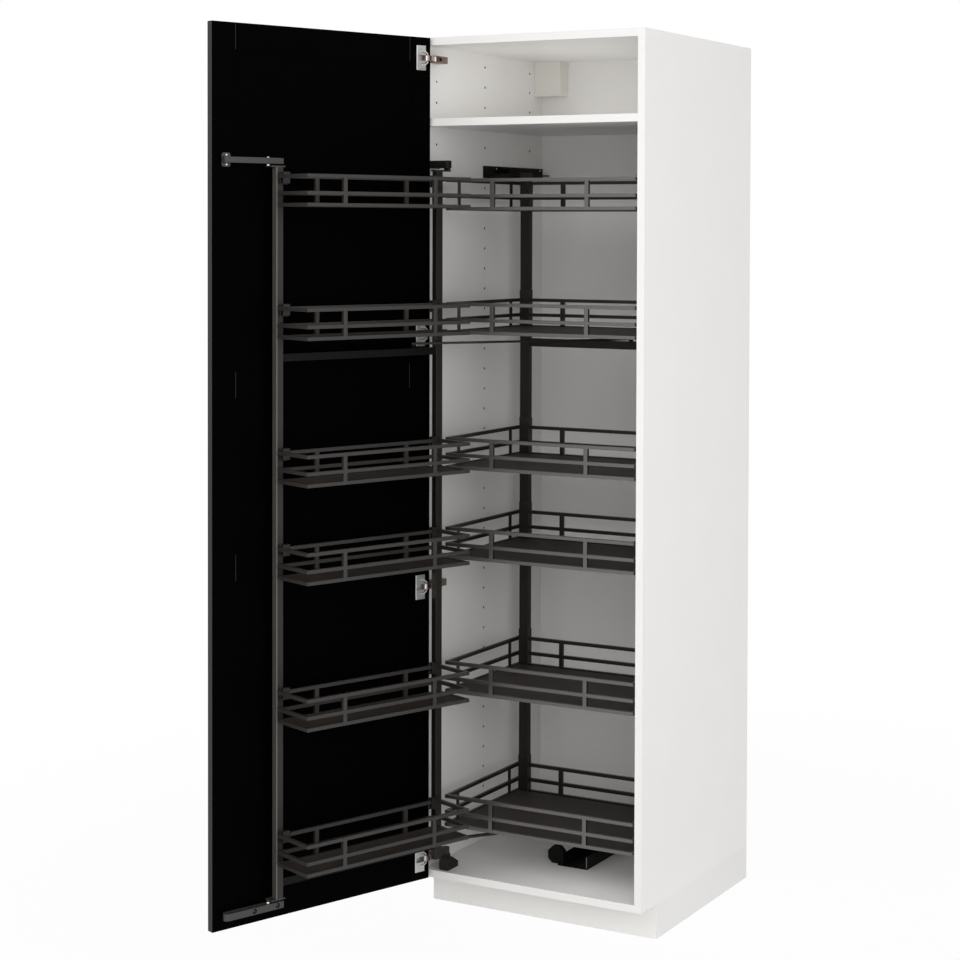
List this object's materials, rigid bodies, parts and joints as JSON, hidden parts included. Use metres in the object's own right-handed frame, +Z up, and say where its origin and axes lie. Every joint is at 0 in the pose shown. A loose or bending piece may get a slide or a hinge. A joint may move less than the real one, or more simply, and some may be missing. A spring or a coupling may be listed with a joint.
{
  "type": "larder cabinet",
  "caption": "Tall white larder cabinet with a dark framed door; a rack of gallery trays swings with the door and a second set of trays rolls forward from inside.",
  "frame": {"origin": "middle of the carcass footprint, on the floor", "axes": "X along the front to the right, Y to the back, Z up"},
  "size_m": [0.7847, 1.1692, 2.08],
  "materials": {
    "carcass_white": "white melamine-faced board, satin",
    "plinth_white": "white melamine-faced board, satin",
    "door_black": "black lacquer, matt",
    "hinge_bronze": "bronze-brown, satin",
    "hinge_copper": "warm nickel plate",
    "hinge_nickel": "nickel plate, satin",
    "cover_plastic": "off-white moulded plastic",
    "leg_plastic": "black moulded plastic",
    "black_steel": "black powder coat",
    "black_plastic": "black moulded plastic",
    "slider_steel": "anthracite powder coat",
    "tray_base": "anthracite non-slip faced board",
    "gallery_anthracite": "anthracite powder coat, satin",
    "frame_black": "black-brown powder coat, satin",
    "frame_anthracite": "anthracite powder coat, satin"
  },
  "bodies": {
    "carcass": {"side_left": "carcass_white", "side_right": "carcass_white", "top_panel": "carcass_white", "bottom_panel": "carcass_white", "fixed_shelf": "carcass_white", "back_board": "carcass_white", "plinth_front": "plinth_white", "plinth_left": "plinth_white", "plinth_right": "plinth_white", "legs": "leg_plastic", "hanger_cover_left": "cover_plastic", "hanger_cover_right": "cover_plastic", "hinge_arms": "hinge_bronze", "pivot_bearing": "black_steel", "pivot_bracket": "black_steel", "floor_runner": "black_steel", "runner_stop": "black_plastic", "wall_guide": "black_steel"},
    "hinge_links": {"hinge_links": "hinge_copper"},
    "door": {"door_bracket": "slider_steel", "door_panel_bottom": "door_black", "door_panel_middle": "door_black", "door_panel_top": "door_black", "door_rail_bottom": "door_black", "door_rail_lower": "door_black", "door_rail_top": "door_black", "door_rail_upper": "door_black", "door_slide_rail": "slider_steel", "door_stile_free": "door_black", "door_stile_hinge": "door_black", "hinge_cups": "hinge_nickel"},
    "rack": {"door_tray_1": "gallery_anthracite", "door_tray_2": "gallery_anthracite", "door_tray_3": "gallery_anthracite", "door_tray_4": "gallery_anthracite", "door_tray_5": "gallery_anthracite", "door_tray_6": "gallery_anthracite", "door_tray_bases": "tray_base", "rack_arm_bottom": "frame_anthracite", "rack_arm_top": "frame_anthracite", "rack_crossbars": "frame_anthracite", "rack_hooks": "frame_anthracite", "rack_post_free": "frame_anthracite", "rack_post_pivot": "frame_anthracite", "rack_slider_bottom": "slider_steel", "rack_slider_top": "slider_steel"},
    "inner_frame": {"inner_carriage": "black_plastic", "inner_crossbars": "frame_black", "inner_guide_carriage": "black_plastic", "inner_post_left": "frame_black", "inner_post_right": "frame_black", "inner_tray_1": "gallery_anthracite", "inner_tray_2": "gallery_anthracite", "inner_tray_3": "gallery_anthracite", "inner_tray_4": "gallery_anthracite", "inner_tray_5": "gallery_anthracite", "inner_tray_6": "gallery_anthracite", "inner_tray_bases": "tray_base"},
    "steering": {"steering_links": "frame_black"}
  },
  "joints": [
    {"name": "hinge_link_swing", "type": "hinge", "parent": "carcass", "child": "hinge_links", "pos_m": [-0.2613, -0.2869, 0], "axis": [0, 0, 1], "range_deg": [-51.83, 0.1]},
    {"name": "door_swing", "type": "hinge", "parent": "hinge_links", "child": "door", "pos_m": [-0.2646, -0.31869, 0], "axis": [0, 0, 1], "range_deg": [0, 162.14]},
    {"name": "rack_swing", "type": "hinge", "parent": "carcass", "child": "rack", "pos_m": [-0.23, -0.28, 0], "axis": [0, 0, 1], "range_deg": [-0.1, 110.51]},
    {"name": "inner_slide", "type": "slide", "parent": "carcass", "child": "inner_frame", "axis": [0, 1, 0], "range_m": [-0.0001, 0.1851]},
    {"name": "steering_swing", "type": "hinge", "parent": "rack", "child": "steering", "pos_m": [-0.26044, -0.38071, 0], "axis": [0, 0, 1], "range_deg": [-94.63, 0.1]}
  ],
  "couplings": [
    {"joint": "hinge_link_swing", "follows": "door_swing", "ratio": -0.31904},
    {"joint": "rack_swing", "follows": "door_swing", "ratio": 0.68096},
    {"joint": "inner_slide", "follows": "door_swing", "m_per_rad": 0.065373},
    {"joint": "steering_swing", "follows": "door_swing", "ratio": -0.58303}
  ]
}
